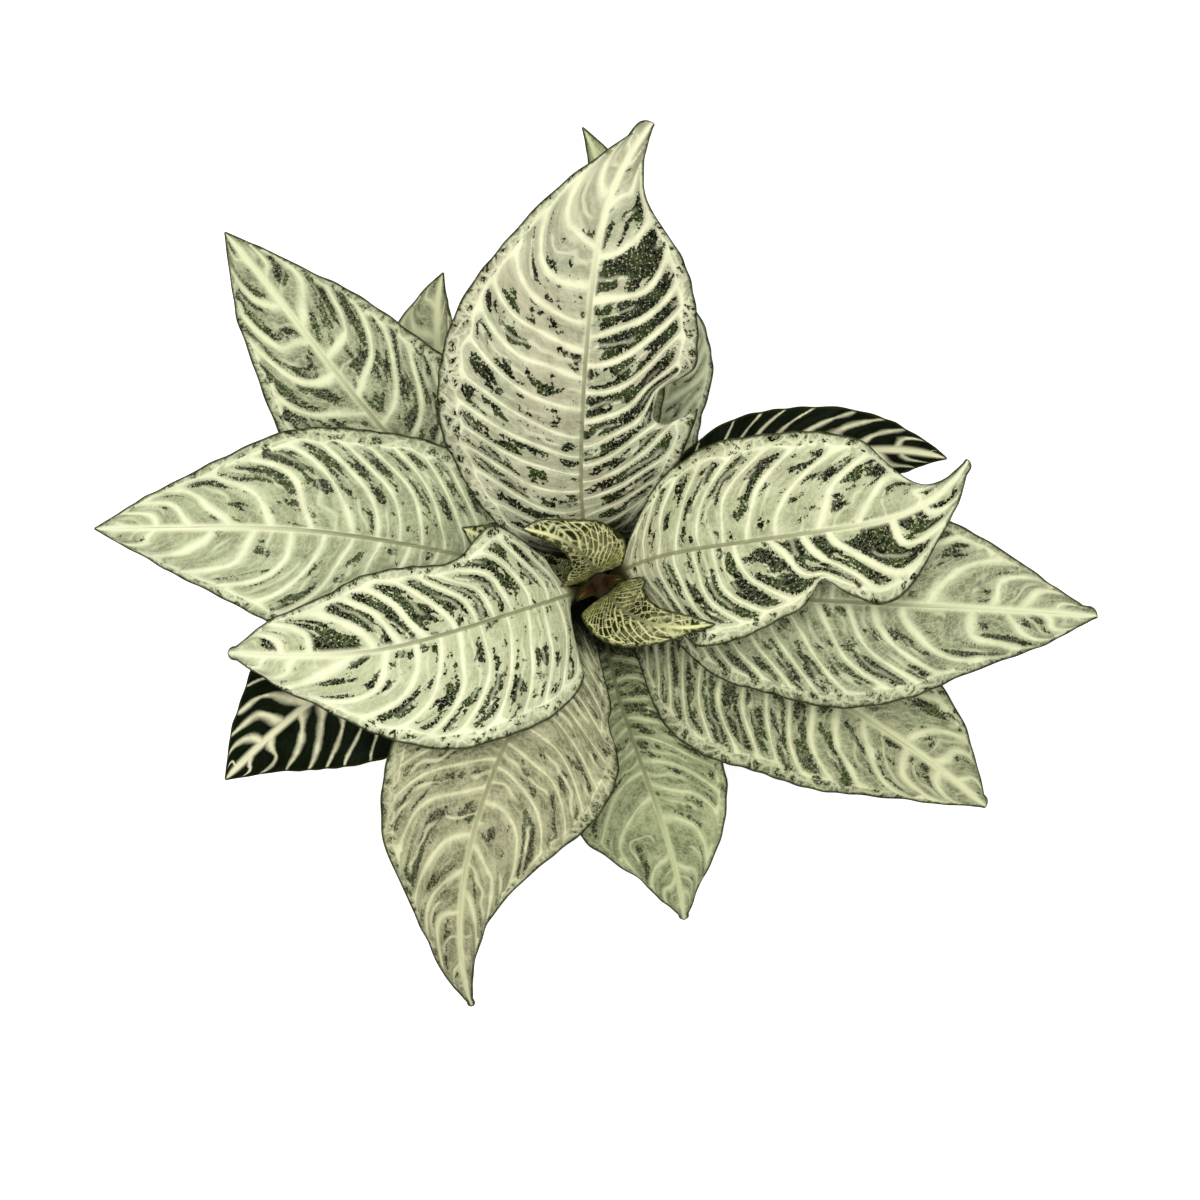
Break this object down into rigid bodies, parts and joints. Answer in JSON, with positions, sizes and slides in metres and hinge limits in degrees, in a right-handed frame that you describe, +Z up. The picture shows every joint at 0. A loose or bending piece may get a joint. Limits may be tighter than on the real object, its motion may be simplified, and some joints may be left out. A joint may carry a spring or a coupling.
{
  "type": "potted zebra plant",
  "caption": "Potted zebra plant: opposite pairs of large waved leaves with pale veins on an upright stem, in soil in a plain clay pot, to stand on a surface",
  "frame": {"origin": "centre of the pot's foot, on the surface that the pot stands on", "axes": "+Z up along the stem, +X towards the right of the picture, along the plant's widest spread, +Y towards its top"},
  "size_m": [0.395, 0.3507, 0.2904],
  "materials": {
    "terracotta": "matt unglazed fired clay",
    "soil": "loose dark potting soil",
    "stem": "satin dark purple-brown stem",
    "leaf_pale": "satin leaf, pale grey-green with cream veins",
    "leaf_dark": "satin leaf, dark green with cream veins",
    "leaf_young": "satin young leaf, olive with a net of cream veins"
  },
  "bodies": {
    "root": {"pot": "terracotta", "soil": "soil", "stem": "stem", "leaf_1_northwest": "leaf_young", "leaf_1_southeast": "leaf_young", "leaf_2_west": "leaf_pale", "leaf_2_east": "leaf_pale", "leaf_3_north": "leaf_pale", "leaf_3_south": "leaf_pale", "leaf_4_west": "leaf_pale", "leaf_4_east": "leaf_pale", "leaf_5_northwest": "leaf_pale", "leaf_5_southeast": "leaf_pale", "leaf_6_north": "leaf_pale", "leaf_6_south": "leaf_pale", "leaf_7_southwest": "leaf_dark", "leaf_7_northeast": "leaf_dark", "leaf_8_northwest": "leaf_pale", "leaf_8_southeast": "leaf_dark", "leaf_9_northeast": "leaf_pale", "leaf_9_southwest": "leaf_dark", "side_shoot_leaf": "leaf_young"}
  },
  "joints": []
}
